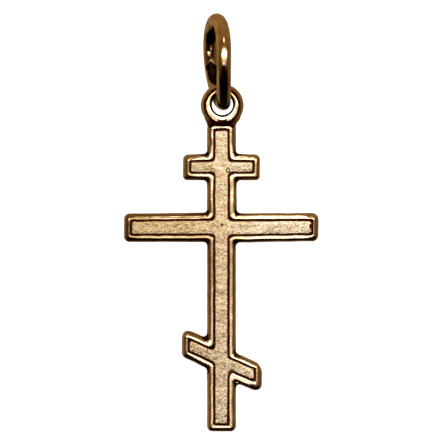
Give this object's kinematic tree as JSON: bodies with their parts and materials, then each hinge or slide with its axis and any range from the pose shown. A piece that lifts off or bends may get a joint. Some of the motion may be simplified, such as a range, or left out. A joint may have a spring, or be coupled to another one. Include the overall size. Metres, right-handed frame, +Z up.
{
  "type": "orthodox cross pendant",
  "caption": "Small cast three-barred cross with a raised rim round a sunk matt field, hanging by its eye from a round-wire jump ring.",
  "frame": {"origin": "inner top of the jump ring, where a chain bears on the wire", "axes": "+Z up along the hanging cross, -Y out of the relief face towards the viewer, +X to the viewer's right"},
  "size_m": [0.014, 0.0069, 0.0302],
  "materials": {
    "cast_gold": "gilded casting, polished rim and eye round a fine matt field",
    "ring_gold": "gilded wire, polished"
  },
  "bodies": {
    "ring": {"jump_ring": "ring_gold"},
    "cross": {"cross": "cast_gold"}
  },
  "joints": [
    {"name": "cross_swing", "type": "hinge", "parent": "ring", "child": "cross", "pos_m": [0.00044, 0.00007, -0.00551], "axis": [0, 1, 0], "range_deg": [-135, 135]}
  ]
}
